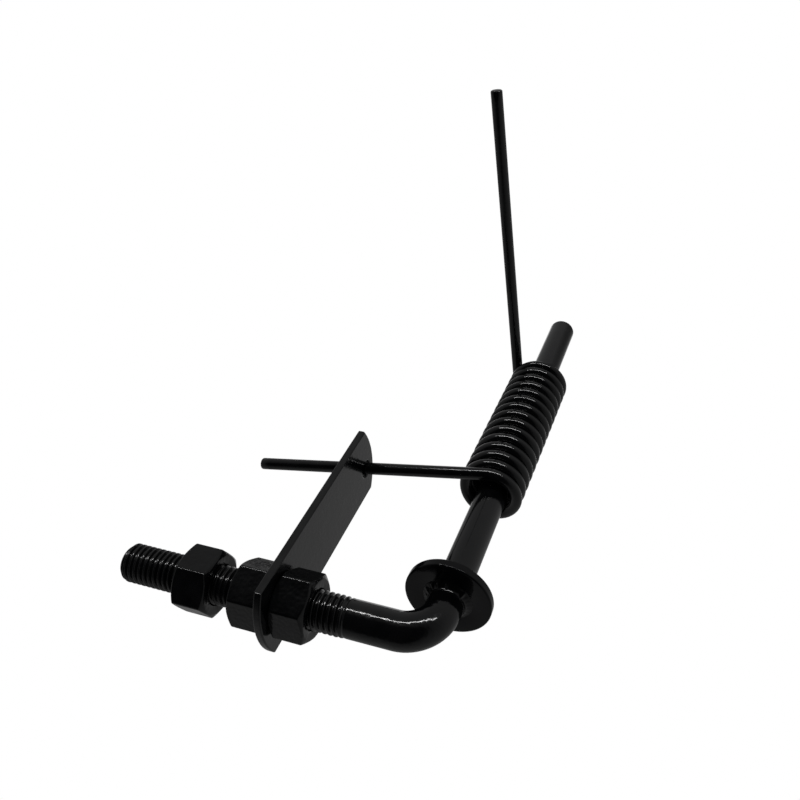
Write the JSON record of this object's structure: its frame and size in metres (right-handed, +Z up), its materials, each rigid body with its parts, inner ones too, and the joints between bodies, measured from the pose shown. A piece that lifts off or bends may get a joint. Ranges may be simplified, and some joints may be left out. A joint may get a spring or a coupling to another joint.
{
  "type": "gate hinge pin with spring closer",
  "caption": "Bent hinge rod with a threaded shank, collar, lock nuts and anchor plate, and a torsion spring round the pin whose long arm pushes a gate shut.",
  "frame": {"origin": "where the hinge pin's axis meets the top face of the collar, on which the gate's hinge eye rests", "axes": "+Z up along the hinge pin, X along the shank with the threaded free end at -X, -Y the side that the spring's arm points to"},
  "size_m": [0.1134, 0.1321, 0.1917],
  "materials": {
    "black_paint": "gloss black paint over steel",
    "black_spring": "gloss black paint over spring steel"
  },
  "bodies": {
    "rod": {"hinge_rod": "black_paint", "collar": "black_paint", "collar_weld": "black_paint", "spring_coil": "black_spring"},
    "arm": {"spring_arm": "black_spring"},
    "anchor": {"anchor_plate": "black_paint"},
    "outer_nut": {"outer_lock_nut": "black_paint"},
    "inner_nut": {"inner_lock_nut": "black_paint"},
    "post_nut": {"fixing_nut": "black_paint"}
  },
  "joints": [
    {"name": "arm_swing", "type": "hinge", "parent": "rod", "child": "arm", "pos_m": [0, 0, 0.1182], "axis": [0, 0, 1], "range_deg": [0, 120], "stiffness_Nm_per_rad": 3.6, "deforming": ["spring_coil"]},
    {"name": "anchor_slide", "type": "slide", "parent": "rod", "child": "anchor", "axis": [1, 0, 0], "range_m": [-0.0029, 0.0029]},
    {"name": "outer_nut_turn", "type": "hinge", "parent": "anchor", "child": "outer_nut", "pos_m": [-0.05455, 0, -0.0176], "axis": [1, 0, 0], "range_deg": [-600, 600]},
    {"name": "inner_nut_turn", "type": "hinge", "parent": "anchor", "child": "inner_nut", "pos_m": [-0.04085, 0, -0.0176], "axis": [1, 0, 0], "range_deg": [-600, 600]},
    {"name": "fixing_nut_travel", "type": "slide", "parent": "rod", "child": "post_nut", "axis": [1, 0, 0], "range_m": [-0.032, 0]}
  ],
  "couplings": [
    {"joint": "outer_nut_turn", "follows": "anchor_slide", "rad_per_m": 3590.4},
    {"joint": "inner_nut_turn", "follows": "anchor_slide", "rad_per_m": 3590.4}
  ]
}
